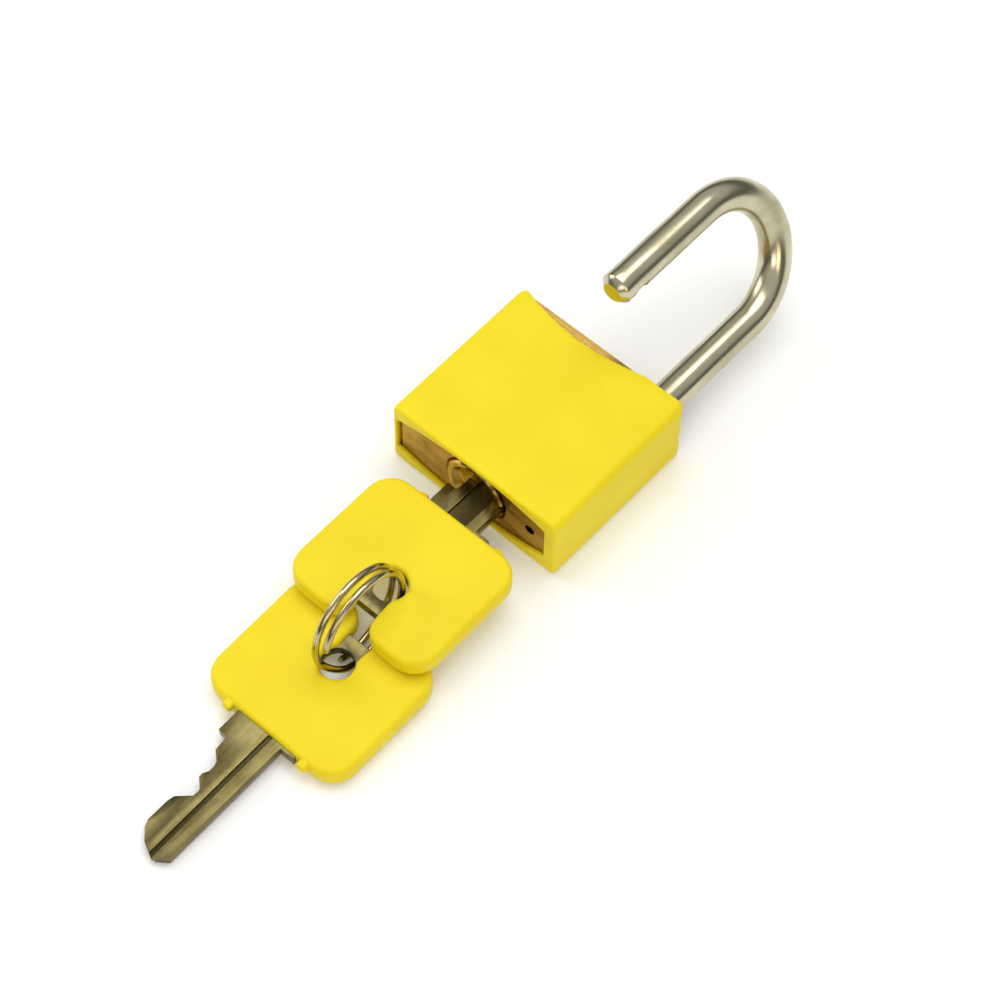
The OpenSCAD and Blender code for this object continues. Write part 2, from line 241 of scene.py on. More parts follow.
# ---------------------------------------------------------------- node helpers
class Shader:
    """A short way to write a material's node tree."""

    def __init__(self, name):
        self.material = bpy.data.materials.new(name)
        self.material.use_nodes = True
        self.tree = self.material.node_tree
        self.surface = self.tree.nodes["Principled BSDF"]
        self.coords = self.tree.nodes.new("ShaderNodeTexCoord").outputs["Object"]

    def link(self, source, target):
        self.tree.links.new(source, target)

    def set(self, **values):
        for key, value in values.items():
            self.surface.inputs[key.replace("_", " ")].default_value = value

    def stretch(self, scale, turn=(0, 0, 0)):
        """Object coordinates, turned and then scaled along each axis."""
        node = self.tree.nodes.new("ShaderNodeMapping")
        node.inputs["Scale"].default_value = scale
        node.inputs["Rotation"].default_value = turn
        self.link(self.coords, node.inputs["Vector"])
        return node.outputs["Vector"]

    def noise(self, vector, scale=1.0, detail=3.0, rough=0.5, distortion=0.0):
        node = self.tree.nodes.new("ShaderNodeTexNoise")
        node.inputs["Scale"].default_value = scale
        node.inputs["Detail"].default_value = detail
        node.inputs["Roughness"].default_value = rough
        node.inputs["Distortion"].default_value = distortion
        self.link(vector, node.inputs["Vector"])
        return node.outputs["Fac"]

    def voronoi(self, vector, scale=1.0):
        node = self.tree.nodes.new("ShaderNodeTexVoronoi")
        node.inputs["Scale"].default_value = scale
        self.link(vector, node.inputs["Vector"])
        return node.outputs["Distance"]

    def span(self, value, low, high, to_low=0.0, to_high=1.0):
        node = self.tree.nodes.new("ShaderNodeMapRange")
        node.inputs["From Min"].default_value = low
        node.inputs["From Max"].default_value = high
        node.inputs["To Min"].default_value = to_low
        node.inputs["To Max"].default_value = to_high
        self.link(value, node.inputs["Value"])
        return node.outputs["Result"]

    def math(self, operation, a, b):
        node = self.tree.nodes.new("ShaderNodeMath")
        node.operation = operation
        for socket, value in zip(node.inputs, (a, b)):
            if isinstance(value, (int, float)):
                socket.default_value = value
            else:
                self.link(value, socket)
        return node.outputs["Value"]

    def mix(self, factor, first, second):
        node = self.tree.nodes.new("ShaderNodeMix")
        node.data_type = "RGBA"
        for socket, value in ((node.inputs[6], first), (node.inputs[7], second)):
            if isinstance(value, tuple):
                socket.default_value = (*value, 1.0)
            else:
                self.link(value, socket)
        if isinstance(factor, (int, float)):
            node.inputs[0].default_value = factor
        else:
            self.link(factor, node.inputs[0])
        return node.outputs[2]

    def axis(self, name):
        """The object's own X, Y or Z, in metres."""
        node = self.tree.nodes.new("ShaderNodeSeparateXYZ")
        self.link(self.coords, node.inputs["Vector"])
        return node.outputs[name]

    def attribute(self, name):
        node = self.tree.nodes.new("ShaderNodeAttribute")
        node.attribute_name = name
        return node.outputs["Fac"]

    def colour(self, value):
        self.link(value, self.surface.inputs["Base Color"])

    def roughness(self, value):
        self.link(value, self.surface.inputs["Roughness"])

    def bump(self, height, depth, strength=1.0, under=None):
        """Adds a bump whose full height is depth millimetres."""
        node = self.tree.nodes.new("ShaderNodeBump")
        node.inputs["Strength"].default_value = strength
        node.inputs["Distance"].default_value = depth * MM
        self.link(height, node.inputs["Height"])
        if under is not None:
            self.link(under, node.inputs["Normal"])
        self.link(node.outputs["Normal"], self.surface.inputs["Normal"])
        return node.outputs["Normal"]


# ---------------------------------------------------------------- materials
def soft_polymer(name, bright, deep, scuff):
    """Soft moulded polymer: satin, faintly mottled, with a fine grain and a few scuffs."""
    s = Shader(name)
    s.set(Roughness=0.5, Specular_IOR_Level=0.2, Subsurface_Weight=0.06)
    s.surface.inputs["Subsurface Radius"].default_value = (1.2 * MM, 0.7 * MM, 0.15 * MM)
    s.surface.inputs["Subsurface Scale"].default_value = 1.0
    broad = s.noise(s.stretch((90, 90, 90)), detail=2)
    body = s.mix(s.span(broad, 0.3, 0.7), deep, bright)
    specks = s.noise(s.stretch((1900, 1900, 1900)), detail=2, rough=0.6)
    marks = s.noise(s.stretch((260, 1500, 260), (0, 0, 0.6)), detail=4, rough=0.65, distortion=0.6)
    scuffs = s.math("MULTIPLY", s.span(marks, 0.63, 0.72), s.span(broad, 0.42, 0.62))
    s.colour(s.mix(s.math("MULTIPLY", scuffs, 0.35), body, scuff))
    rough = s.span(specks, 0.3, 0.7, 0.44, 0.54)
    s.roughness(s.math("ADD", rough, s.math("MULTIPLY", scuffs, 0.08)))
    grain = s.bump(specks, 0.02, 0.35)
    s.bump(s.noise(s.stretch((160, 160, 160)), detail=2), 0.12, 0.35, grain)
    return s.material


def brushed_brass(name, bright, deep, brown, turn=(0, 0, 0)):
    """Milled brass: long fine lines across it, tarnish in broad patches, and painted shade that
    darkens it towards the key end.
    """
    s = Shader(name)
    s.set(Metallic=1.0)
    s.surface.inputs["Specular Tint"].default_value = (0.97, 0.80, 0.50, 1.0)
    lines = s.noise(s.stretch((35, 2600, 2600), turn), detail=4, rough=0.6)
    coarse = s.noise(s.stretch((12, 700, 700), turn), detail=3)
    patches = s.noise(s.stretch((120, 150, 220)), detail=4, rough=0.6, distortion=0.5)
    body = s.mix(s.span(lines, 0.32, 0.68), deep, bright)
    # Painted shade: the brass grows darker towards the key end, added to the random tarnish patches
    key_end_shade = s.span(s.axis("Y"), -8 * MM, 8 * MM, 0.42, 0.0)
    tarnish_and_key_end_shade = s.math("ADD", key_end_shade, s.span(patches, 0.44, 0.70, 0.0, 0.5))
    s.colour(s.mix(tarnish_and_key_end_shade, body, brown))
    shine = s.span(patches, 0.35, 0.7, 0.14, 0.3)
    s.roughness(s.math("ADD", shine, s.span(lines, 0.3, 0.7, 0.0, 0.08)))
    base = s.bump(coarse, 0.014, 0.4)
    s.bump(lines, 0.008, 0.5, base)
    return s.material


def turned_brass(name, bright, deep):
    """Turned brass: bright, with pitting and short tool marks."""
    s = Shader(name)
    s.set(Metallic=1.0)
    s.surface.inputs["Specular Tint"].default_value = (0.95, 0.72, 0.36, 1.0)
    marks = s.noise(s.stretch((900, 900, 900)), detail=4, rough=0.65, distortion=0.8)
    broad = s.noise(s.stretch((260, 260, 260)), detail=3)
    s.colour(s.mix(s.span(broad, 0.35, 0.65), deep, bright))
    s.roughness(s.span(marks, 0.3, 0.7, 0.1, 0.26))
    base = s.bump(broad, 0.16, 0.6)
    s.bump(marks, 0.03, 0.4, base)
    return s.material


def plated(name, bright, deep, rough_low, rough_high, lines):
    """Bright plating with fine drawn lines, faint clouding and small nicks."""
    s = Shader(name)
    s.set(Metallic=1.0)
    drawn = s.noise(s.stretch(lines), detail=3, rough=0.6)
    cloud = s.noise(s.stretch((180, 120, 180)), detail=3)
    nicks = s.span(s.voronoi(s.stretch((520, 380, 520))), 0.0, 0.075, 1.0, 0.0)
    s.colour(s.mix(s.span(cloud, 0.35, 0.7), bright, deep))
    haze = s.span(cloud, 0.35, 0.7, rough_low, rough_high)
    s.roughness(s.math("ADD", haze, s.math("MULTIPLY", nicks, 0.15)))
    base = s.bump(drawn, 0.006, 0.45)
    s.bump(nicks, -0.015, 0.5, base)
    return s.material


def key_metal(name, bright, deep, dark_groove_and_eye_shade):
    """Worn nickel plating: scratched along its length, dark in its milled grooves, and with painted
    shade on the eye's wall.
    """
    s = Shader(name)
    s.set(Metallic=1.0)
    along = s.noise(s.stretch((1500, 60, 1500), (0, 0, 0.05)), detail=4, rough=0.6)
    across = s.noise(s.stretch((90, 1400, 700), (0, 0, -0.5)), detail=3)
    cloud = s.noise(s.stretch((230, 190, 230)), detail=4, rough=0.6)
    body = s.mix(s.span(cloud, 0.35, 0.68), bright, deep)
    # Darker on the grooves' floors, and painted shade on the eye's wall
    dark_groove_and_eye_shade_amount = s.math("MULTIPLY", s.attribute("dark_groove_and_eye_shade"), s.span(cloud, 0.2, 0.6, 0.9, 0.6))
    s.colour(s.mix(dark_groove_and_eye_shade_amount, body, dark_groove_and_eye_shade))
    worn = s.span(along, 0.3, 0.7, 0.2, 0.36)
    s.roughness(s.math("ADD", worn, s.math("MULTIPLY", dark_groove_and_eye_shade_amount, 0.2)))
    base = s.bump(across, 0.006, 0.4)
    s.bump(along, 0.008, 0.5, base)
    return s.material


def ground_steel(name, bright, deep):
    """Ground or drawn steel of the small inner pieces."""
    s = Shader(name)
    s.set(Metallic=1.0)
    marks = s.noise(s.stretch((1200, 1200, 1200)), detail=3)
    s.colour(s.mix(s.span(marks, 0.3, 0.7), deep, bright))
    s.roughness(s.span(marks, 0.3, 0.7, 0.2, 0.38))
    s.bump(marks, 0.01, 0.5)
    return s.material


def paper_floor():
    """Seamless white paper."""
    s = Shader("stage_paper")
    s.set(Roughness=0.9, Specular_IOR_Level=0.1, Emission_Strength=0.1)
    s.surface.inputs["Emission Color"].default_value = (1.0, 1.0, 1.0, 1.0)
    fibre = s.noise(s.stretch((500, 500, 500)), detail=2)
    s.colour(s.mix(s.span(fibre, 0.3, 0.7), (0.93, 0.93, 0.925), (0.94, 0.94, 0.935)))
    return s.material


MATERIALS = {
    "yellow_jacket": soft_polymer(
        "yellow_jacket", (0.88, 0.72, 0.014), (0.85, 0.665, 0.010), (0.92, 0.80, 0.10)
    ),
    "yellow_cover": soft_polymer(
        "yellow_cover", (0.88, 0.715, 0.014), (0.85, 0.66, 0.010), (0.92, 0.80, 0.10)
    ),
    "brass": brushed_brass(
        "brass", (0.76, 0.49, 0.13), (0.44, 0.26, 0.055), (0.13, 0.065, 0.012)
    ),
    "plug_brass": turned_brass("plug_brass", (0.72, 0.50, 0.14), (0.16, 0.09, 0.015)),
    "pin_brass": turned_brass("pin_brass", (0.80, 0.58, 0.22), (0.60, 0.40, 0.14)),
    "plated_steel": plated(
        "plated_steel", (0.60, 0.56, 0.40), (0.43, 0.39, 0.25), 0.19, 0.3, (1500, 60, 1500)
    ),
    "ring_metal": plated(
        "ring_metal", (0.60, 0.52, 0.32), (0.38, 0.31, 0.15), 0.1, 0.2, (3000, 3000, 3000)
    ),
    # The third colour darkens the grooves' floors, and paints shade on the eye's wall
    "key_metal": key_metal(
        "key_metal", (0.21, 0.175, 0.07), (0.13, 0.105, 0.037), (0.03, 0.022, 0.008)
    ),
    "spring_steel": ground_steel("spring_steel", (0.62, 0.62, 0.62), (0.42, 0.42, 0.43)),
    "steel_pin": ground_steel("steel_pin", (0.68, 0.69, 0.70), (0.50, 0.51, 0.53)),
}


def finish_piece(obj, body, slot, *nodes):
    """Gives a piece the material of its slot and its body, and hides the CAD nodes that it stands
    for.
    """
    obj.data.materials.clear()
    obj.data.materials.append(MATERIALS[slot])
    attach(obj, body)
    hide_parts(*nodes)
    return obj


# ---------------------------------------------------------------- jacket
LONG_STEPS = 56
SHORT_STEPS = 18
CORNER_STEPS = 8
EDGE_STEPS = 6
SKIN_ROWS = 30
LIP_STEPS = 4
LIP_R = 0.32
LIP_INNER_R = 0.12
# The sleeve's inside: a little clear of the brass, and square-cornered
WALL_GAP = 0.06
INNER_CORNER = 0.1
INNER_ROWS = (1.6, 3.2)
WINDOW_BACK = BRASS_LOW.y - 0.005
# The top edge's cuts are whole down to TOP_FULL below it, and gone at TOP_REACH
TOP_REACH = 9.0
TOP_FULL = 3.4
RAGGED_LIP = 0.22
RAGGED_SCALE = 0.8
RAGGED_WARP = 0.5
# The front face's unevenness, and the loops at the key end that stay even
WAVE_SCALE = 0.11
WAVE_HEIGHT = 0.07
WAVE_SINK = 0.05
WAVE_FADE = 3.0
FRONT_BAND = 6.0
STILL_LOOPS = 4


def barrel_sag(x, middle, half, crown):
    """How far an arc that falls by crown at its ends has fallen at x."""
    if crown == 0:
        return 0.0
    radius = (half * half + crown * crown) / (2 * crown)
    return radius - math.sqrt(max(radius * radius - (x - middle) ** 2, 0.0))


def section_loop(y, x0, x1, z0, z1, corner, crown=0.0):
    """A rounded rectangle across the lock at y, its long sides bowed by crown."""
    middle = (x0 + x1) / 2
    half = (x1 - x0) / 2
    loop = []
    sides = [
        (x1 - corner, z0 + corner, -90, (x0 + corner, z0), (x1 - corner, z0), LONG_STEPS),
        (x1 - corner, z1 - corner, 0, (x1, z0 + corner), (x1, z1 - corner), SHORT_STEPS),
        (x0 + corner, z1 - corner, 90, (x1 - corner, z1), (x0 + corner, z1), LONG_STEPS),
        (x0 + corner, z0 + corner, 180, (x0, z1 - corner), (x0, z0 + corner), SHORT_STEPS),
    ]
    for centre_x, centre_z, start, first, last, steps in sides:
        for i in range(steps):
            t = i / steps
            loop.append((first[0] + (last[0] - first[0]) * t, first[1] + (last[1] - first[1]) * t))
        for i in range(CORNER_STEPS):
            a = math.radians(start + 90 * i / CORNER_STEPS)
            loop.append((centre_x + corner * math.cos(a), centre_z + corner * math.sin(a)))
    points = []
    reach = (z1 - z0) / 2
    for x, z in loop:
        bow = barrel_sag(x, middle, half, crown)
        squeeze = (reach - bow) / reach
        points.append(Vector((x, y, MID_Z + (z - MID_Z) * squeeze)))
    return points


def outer_loop(y, inset, corner=None):
    """The jacket's outer outline at y, drawn in by inset."""
    if corner is None:
        corner = max(JACKET_CORNER - inset, 0.3)
    return section_loop(
        y,
        JACKET_LOW.x + inset,
        JACKET_HIGH.x - inset,
        JACKET_LOW.z + inset,
        JACKET_HIGH.z - inset,
        corner,
    )


def window_loop(y, grow):
    """The window's barrel-shaped outline at y, opened out by grow."""
    return section_loop(
        y,
        WINDOW_X0 - grow,
        WINDOW_X1 + grow,
        WINDOW_BORDER - grow,
        JACKET_HIGH.z - WINDOW_BORDER + grow,
        WINDOW_CORNER + grow,
        WINDOW_CROWN,
    )


def corner_shift(point):
    """How far the top edge falls at this point to round the jacket's two top corners."""
    past = abs(point.x) - (JACKET_HIGH.x - JACKET_CORNER)
    if past <= 0:
        return 0.0
    return JACKET_CORNER - math.sqrt(max(JACKET_CORNER**2 - past**2, 0.0))


def scoop_shift(point):
    """How far the front wall's top edge is cut back at this point."""
    radius = (SCOOP_HALF**2 + SCOOP_DEPTH**2) / (2 * SCOOP_DEPTH)
    across = abs(point.x - SCOOP_X)
    if across > radius:
        return 0.0
    depth = SCOOP_DEPTH - (radius - math.sqrt(radius**2 - across**2))
    # The scoop's two ends run out softly, and it fades in just behind the front wall
    settle = 0.03
    depth = max(0.0, (depth + math.sqrt(depth * depth + SCOOP_SOFT**2)) / 2 - settle)
    fade = 0.35
    fade_start = JACKET_HIGH.z - JACKET_WALL - 0.5
    front = min(max((point.z - fade_start) / fade, 0.0), 1.0)
    return depth * front


def outer_skin():
    """The jacket's outer outlines, from the window's rim to the lip at the shackle end."""
    y0, y1 = JACKET_LOW.y, JACKET_HIGH.y
    loops = []
    for i in range(EDGE_STEPS + 1):
        a = math.radians(90 * i / EDGE_STEPS)
        inset = JACKET_EDGE * (1 - math.sin(a))
        loops.append(outer_loop(y0 + JACKET_EDGE * (1 - math.cos(a)), inset))
    for i in range(1, SKIN_ROWS):
        t = i / SKIN_ROWS
        loops.append(outer_loop(y0 + JACKET_EDGE + (y1 - LIP_R - y0 - JACKET_EDGE) * t, 0.0))
    for i in range(LIP_STEPS + 1):
        a = math.radians(90 * i / LIP_STEPS)
        loops.append(outer_loop(y1 - LIP_R + LIP_R * math.sin(a), LIP_R * (1 - math.cos(a))))
    return loops


def inner_skin():
    """The outlines down the inside of the wall, from the lip back to the window."""
    y1 = JACKET_HIGH.y
    wall = JACKET_WALL - WALL_GAP
    loops = []
    for i in range(LIP_STEPS):
        a = math.radians(90 * i / (LIP_STEPS - 1))
        inset = wall - LIP_INNER_R * (1 - math.sin(a))
        loops.append(outer_loop(y1 - LIP_INNER_R + LIP_INNER_R * math.cos(a), inset))
    for depth in INNER_ROWS:
        loops.append(outer_loop(y1 - depth, wall, INNER_CORNER))
    loops.append(outer_loop(WINDOW_BACK, wall, INNER_CORNER))
    return loops


def cut_top_edge(loop):
    """Scoops, rounds and roughens the top edge; the rows below it follow less and less."""
    top = JACKET_HIGH.y
    for p in loop:
        near = min(max((p.y - top + TOP_REACH) / (TOP_REACH - TOP_FULL), 0.0), 1.0)
        bend = noise.noise(p * RAGGED_WARP)
        rough = noise.noise(p * RAGGED_SCALE + Vector((bend, bend, bend)))
        ragged = max(rough, 0.0) * RAGGED_LIP
        p.y -= (scoop_shift(p) + corner_shift(p) + ragged) * near


def uneven_face(loop):
    """Hand-moulded unevenness: a few hundredths of a millimetre on the front face."""
    for p in loop:
        wave = noise.noise(p * WAVE_SCALE) * WAVE_HEIGHT - WAVE_SINK
        side = min(abs(p.x - JACKET_LOW.x), abs(p.x - JACKET_HIGH.x), WAVE_FADE) / WAVE_FADE
        if p.z > MID_Z + FRONT_BAND:
            p.z += wave * side


def build_jacket():
    """The soft jacket: a sleeve with a wall, a window at one end and a scooped lip at the other."""
    back = window_loop(WINDOW_BACK, 0.0)
    rim = [window_loop(JACKET_LOW.y + depth, grow) for depth, grow in WINDOW_RIM]
    outer = outer_skin()
    inner = inner_skin()
    for loop in [rim[-1]] + outer + inner:
        cut_top_edge(loop)
    for loop in outer[STILL_LOOPS:]:
        uneven_face(loop)
    points, faces = loft([back] + rim + outer + inner, rejoin=True)
    obj = new_object("soft_jacket", points, faces, 50)
    face_outwards(obj)
    return finish_piece(obj, "lock", "yellow_jacket", "jacket")


# ---------------------------------------------------------------- shackle
def shackle_matrix():
    """From the shackle's own frame, heel axis on Y and toe leg at -X, to its place."""
    turn = Matrix.Rotation(SHACKLE_TURN, 4, "Y")
    return Matrix.Translation((HEEL_X, 0, MID_Z)) @ turn


def leg_loop(centre_x, y, radius, flat_at=None):
    """A circle across a leg, cut flat at flat_at on its +X side."""
    loop = []
    for k in range(SHACKLE_SIDES):
        a = 2 * math.pi * k / SHACKLE_SIDES
        x = radius * math.cos(a)
        if flat_at is not None:
            x = min(x, flat_at)
        loop.append(Vector((centre_x + x, y, radius * math.sin(a))))
    return loop


def heel_loops():
    """The heel leg, from its foot over the annular neck to the straight rod."""
    edge = 0.25
    chamfer = 0.1
    fillet = 0.12
    mid_leg = 26.0
    profile = (
        (FOOT_Y, SHACKLE_R - edge),
        (FOOT_Y + edge, SHACKLE_R),
        (NECK_Y0 - chamfer, SHACKLE_R),
        (NECK_Y0, SHACKLE_R - chamfer),
        (NECK_Y0 + HAIR, NECK_R + fillet),
        (NECK_Y0 + HAIR + fillet, NECK_R),
        (NECK_Y1 - HAIR - fillet, NECK_R),
        (NECK_Y1 - HAIR, NECK_R + fillet),
        (NECK_Y1, SHACKLE_R - chamfer),
        (NECK_Y1 + chamfer, SHACKLE_R),
        (mid_leg, SHACKLE_R),
    )
    return [leg_loop(0.0, y, radius) for y, radius in profile]


def bow_loops():
    """The bow, a half circle from the heel leg to the toe leg."""
    bow_r = SHACKLE_SPAN / 2
    side = Vector((0, 0, 1))
    loops = []
    for i in range(BOW_BENDS + 1):
        a = math.pi * i / BOW_BENDS
        centre = Vector((-bow_r + bow_r * math.cos(a), BOW_Y + bow_r * math.sin(a), 0))
        out = Vector((math.cos(a), math.sin(a), 0))
        loops.append(tube_loop(centre, out, side, SHACKLE_R, SHACKLE_SIDES))
    return loops


def toe_loops():
    """The toe leg, from the bow over the latch's notch to the chamfered end."""
    clear = 2.0
    soft = 0.12
    floor = SHACKLE_R - NOTCH_DEPTH
    upper = NOTCH_MID + NOTCH_LENGTH / 2
    lower = NOTCH_MID - NOTCH_LENGTH / 2
    chamfer_y = TOE_END + TOE_CHAMFER
    end_r = SHACKLE_R - TOE_CHAMFER
    profile = (
        (upper + clear, SHACKLE_R, None),
        (upper + soft, SHACKLE_R, None),
        (upper, SHACKLE_R, SHACKLE_R - soft),
        (upper - HAIR, SHACKLE_R, floor + soft),
        (upper - soft, SHACKLE_R, floor),
        (lower + soft, SHACKLE_R, floor),
        (lower + HAIR, SHACKLE_R, floor + soft),
        (lower, SHACKLE_R, SHACKLE_R - soft),
        (lower - soft, SHACKLE_R, None),
        # The chamfer, with both of its edges eased
        (chamfer_y + 0.12, SHACKLE_R, None),
        (chamfer_y, SHACKLE_R - 0.04, None),
        (TOE_END + TOE_CHAMFER * 0.5, SHACKLE_R - TOE_CHAMFER * 0.54, None),
        (TOE_END + 0.1, end_r + 0.08, None),
        (TOE_END, end_r - 0.06, None),
    )
    # The bow ends with its outward direction at -X, so each loop is turned to start there too
    half_turn = SHACKLE_SIDES // 2
    loops = []
    for y, radius, flat_at in profile:
        loop = leg_loop(-SHACKLE_SPAN, y, radius, flat_at)
        loops.append([loop[(half_turn - k) % SHACKLE_SIDES] for k in range(SHACKLE_SIDES)])
    return loops


def build_shackle():
    """The plated shackle, in one piece from the heel's foot to the toe."""
    loops = heel_loops() + bow_loops() + toe_loops()
    points, faces = loft(loops, cap_start=True, cap_end=True)
    obj = new_object("plated_shackle", points, faces, 32)
    face_outwards(obj)
    place_mesh(obj, shackle_matrix())
    return finish_piece(obj, "shackle", "plated_steel", "shackle")


# ---------------------------------------------------------------- keys
def key_matrix(number):
    """From a key's own frame to its place: key 1 in the plug, key 2 turned over beside it."""
    if number == 1:
        return Matrix.Translation(KEY_1_AT)
    return Matrix.Translation(KEY_2_AT) @ Matrix.Rotation(KEY_2_TILT, 4, "X")


def arc(centre, radius, start, end, steps):
    """Points on an arc, from start to end in degrees, both ends included."""
    points = []
    for i in range(steps + 1):
        a = math.radians(start + (end - start) * i / steps)
        points.append(Vector((centre[0] + radius * math.cos(a), centre[1] + radius * math.sin(a))))
    return points


def cover_outline():
    """The cover's C-shaped outline, anticlockwise: rounded rectangle, slot and eye."""
    x0 = HEAD_X - HEAD_W / 2
    x1 = HEAD_X + HEAD_W / 2
    c = HEAD_CORNER
    m = SLOT_MOUTH_R
    n = SLOT_NECK_R
    corner_steps = 12
    mouth_steps = 10
    neck_steps = 6
    eye_steps = 40
    outline = []
    outline += arc((x1 - c, HEAD_Y0 + c), c, -90, 0, corner_steps)
    outline += arc((x1 - c, HEAD_Y1 - c), c, 0, 90, corner_steps)
    outline += arc((x0 + c, HEAD_Y1 - c), c, 90, 180, corner_steps)
    outline += arc((x0 + c, HEAD_Y0 + c), c, 180, 270, corner_steps)
    # Up one side of the slot, over its rounded neck, round the eye and down again
    neck_x = SLOT_HALF + n
    drop = math.sqrt((EYE_R + n) ** 2 - neck_x**2)
    lean = math.degrees(math.atan2(drop, neck_x))
    outline += arc((-SLOT_HALF_END - m, HEAD_Y0 + m), m, -90, 0, mouth_steps)
    outline += arc((-neck_x, EYE_Y - drop), n, 0, lean, neck_steps)
    outline += arc((0, EYE_Y), EYE_R, 180 + lean, -lean, eye_steps)
    outline += arc((neck_x, EYE_Y - drop), n, 180 - lean, 180, neck_steps)
    outline += arc((SLOT_HALF_END + m, HEAD_Y0 + m), m, 180, 270, mouth_steps)
    return outline


def even_points(outline, spacing):
    """The same closed outline with points about spacing apart, and none much closer."""
    ring = outline + [outline[0]]
    result = []
    for a, b in zip(ring, ring[1:]):
        gap = (b - a).length
        steps = max(1, round(gap / spacing))
        for i in range(steps):
            result.append(a.lerp(b, i / steps))
    cleaned = [result[0]]
    for p in result[1:]:
        if (p - cleaned[-1]).length > spacing * 0.2:
            cleaned.append(p)
    return cleaned


def smooth_outline(outline, rounds):
    """Evens out small kinks without moving the straight runs."""
    for _ in range(rounds):
        count = len(outline)
        outline = [
            outline[i] * 0.5 + (outline[i - 1] + outline[(i + 1) % count]) * 0.25
            for i in range(count)
        ]
    return outline


def inward_normals(outline):
    """The direction into the cover's face at each point of its outline."""
    count = len(outline)
    normals = []
    for i in range(count):
        along = outline[(i + 1) % count] - outline[i - 1]
        normals.append(Vector((-along.y, along.x)).normalized())
    return normals


def nub_shell(side):
    """One of the two small rounded lugs beside the blade."""
    centre = Vector((side * NUB_X, HEAD_Y1 + NUB_PAST, NUB_RISE - HEAD_T / 2))
    work = bmesh.new()
    bmesh.ops.create_cube(work, size=1.0)
    for v in work.verts:
        v.co = v.co * NUB_SIZE + centre
    bmesh.ops.bevel(
        work, geom=work.edges, offset=NUB_ROUND, segments=4, profile=0.5, affect="EDGES"
    )
    points = [v.co.copy() for v in work.verts]
    faces = [tuple(v.index for v in f.verts) for f in work.faces]
    work.free()
    return points, faces


def build_cover(number):
    """A key head's soft cover: rounded edges, flat faces, open at the eye and slot."""
    outline = smooth_outline(even_points(cover_outline(), COVER_SPACING), 3)
    normals = inward_normals(outline)
    half_t = HEAD_T / 2
    upper = []
    for i in range(COVER_EDGE_STEPS + 1):
        a = math.radians(90 * i / COVER_EDGE_STEPS)
        upper.append((HEAD_EDGE * (1 - math.sin(a)), half_t - HEAD_EDGE * (1 - math.cos(a))))
    wall_z = 0.3
    stations = upper + [(0.0, wall_z), (0.0, -wall_z)]
    stations += [(inset, -z) for inset, z in reversed(upper)]
    loops = []
    for inset, z in stations:
        drawn_in = [p + n * inset for p, n in zip(outline, normals)]
        loops.append([Vector((p.x, p.y, z)) for p in drawn_in])
    points, faces = loft(loops, cap_start=True, cap_end=True)
    for side in (-1, 1):
        more_points, more_faces = nub_shell(side)
        base = len(points)
        points += more_points
        faces += [tuple(i + base for i in f) for f in more_faces]
    obj = new_object(f"soft_cover_{number}", points, faces, 50)
    face_outwards(obj)
    place_mesh(obj, key_matrix(number))
    return finish_piece(obj, f"key_{number}", "yellow_cover", f"key_{number}_cover")


def mark_dark_grooves_and_eye_shade(obj, matrix, groove_z):
    """Stores where the grooves' floors and the eye's wall are, for the material to darken; the eye's
    wall gets painted shade.
    """
    back = matrix.inverted()
    layer = obj.data.attributes.new("dark_groove_and_eye_shade", "FLOAT", "FACE")
    near_floor = 0.06
    near_wall = 0.1
    values = []
    for poly in obj.data.polygons:
        centre = back @ (poly.center / MM)
        normal = back.to_3x3() @ poly.normal
        floor = abs(normal.z) > 0.9 and abs(abs(centre.z) - groove_z) < near_floor
        groove = floor and centre.y > HEAD_Y1
        # The eye's wall is marked for painted shade
        from_eye = math.hypot(centre.x, centre.y - EYE_Y)
        eye = abs(normal.z) < 0.5 and from_eye < EYE_R + near_wall
        values.append(1.0 if groove or eye else 0.0)
    layer.data.foreach_set("value", values)


def build_blade(number):
    """A key's metal: the CAD blade and bow with its sharp edges eased."""
    obj = edged_copy(f"key_{number}_blade", f"key_metal_{number}", METAL_EDGE)
    mark_dark_grooves_and_eye_shade(obj, key_matrix(number), METAL_HALF_T - GROOVE_DEPTH)
    return finish_piece(obj, f"key_{number}", "key_metal", f"key_{number}_blade")


# ---------------------------------------------------------------- split ring
def build_ring():
    """The split ring: two flat turns of wire side by side, joined by a jog."""
    along = Vector((math.sin(RING_YAW), math.cos(RING_YAW), 0))
    rise = Vector(
        (
            -math.sin(RING_LEAN) * math.cos(RING_YAW),
            math.sin(RING_LEAN) * math.sin(RING_YAW),
            math.cos(RING_LEAN),
        )
    )
    normal = along.cross(rise)
    last = 2 * 360 - RING_JOG - RING_GAP
    count = int(last / RING_STEP)
    loops = []
    for i in range(count + 1):
        a = last * i / count
        t = min(1.0, max(0.0, (a - 360 + RING_JOG) / RING_JOG))
        t = t * t * (3 - 2 * t)
        shift = RING_PITCH * t - RING_PITCH / 2
        angle = math.radians(a + RING_START)
        out = math.cos(angle) * along + math.sin(angle) * rise
        centre = RING_AT + RING_R * out + shift * normal
        # The wire's two ends are ground to a blunt taper
        from_end = min(a, last - a) / RING_TAPER_TURN
        taper = RING_TAPER * (1 - math.sqrt(min(from_end, 1.0)))
        loops.append(tube_loop(centre, out, normal, RING_WIRE_R * (1 - taper), RING_SIDES))
    points, faces = loft(loops, cap_start=True, cap_end=True)
    obj = new_object("ring_wire", points, faces, 40)
    face_outwards(obj)
    return finish_piece(obj, "ring", "ring_metal", "split_ring")


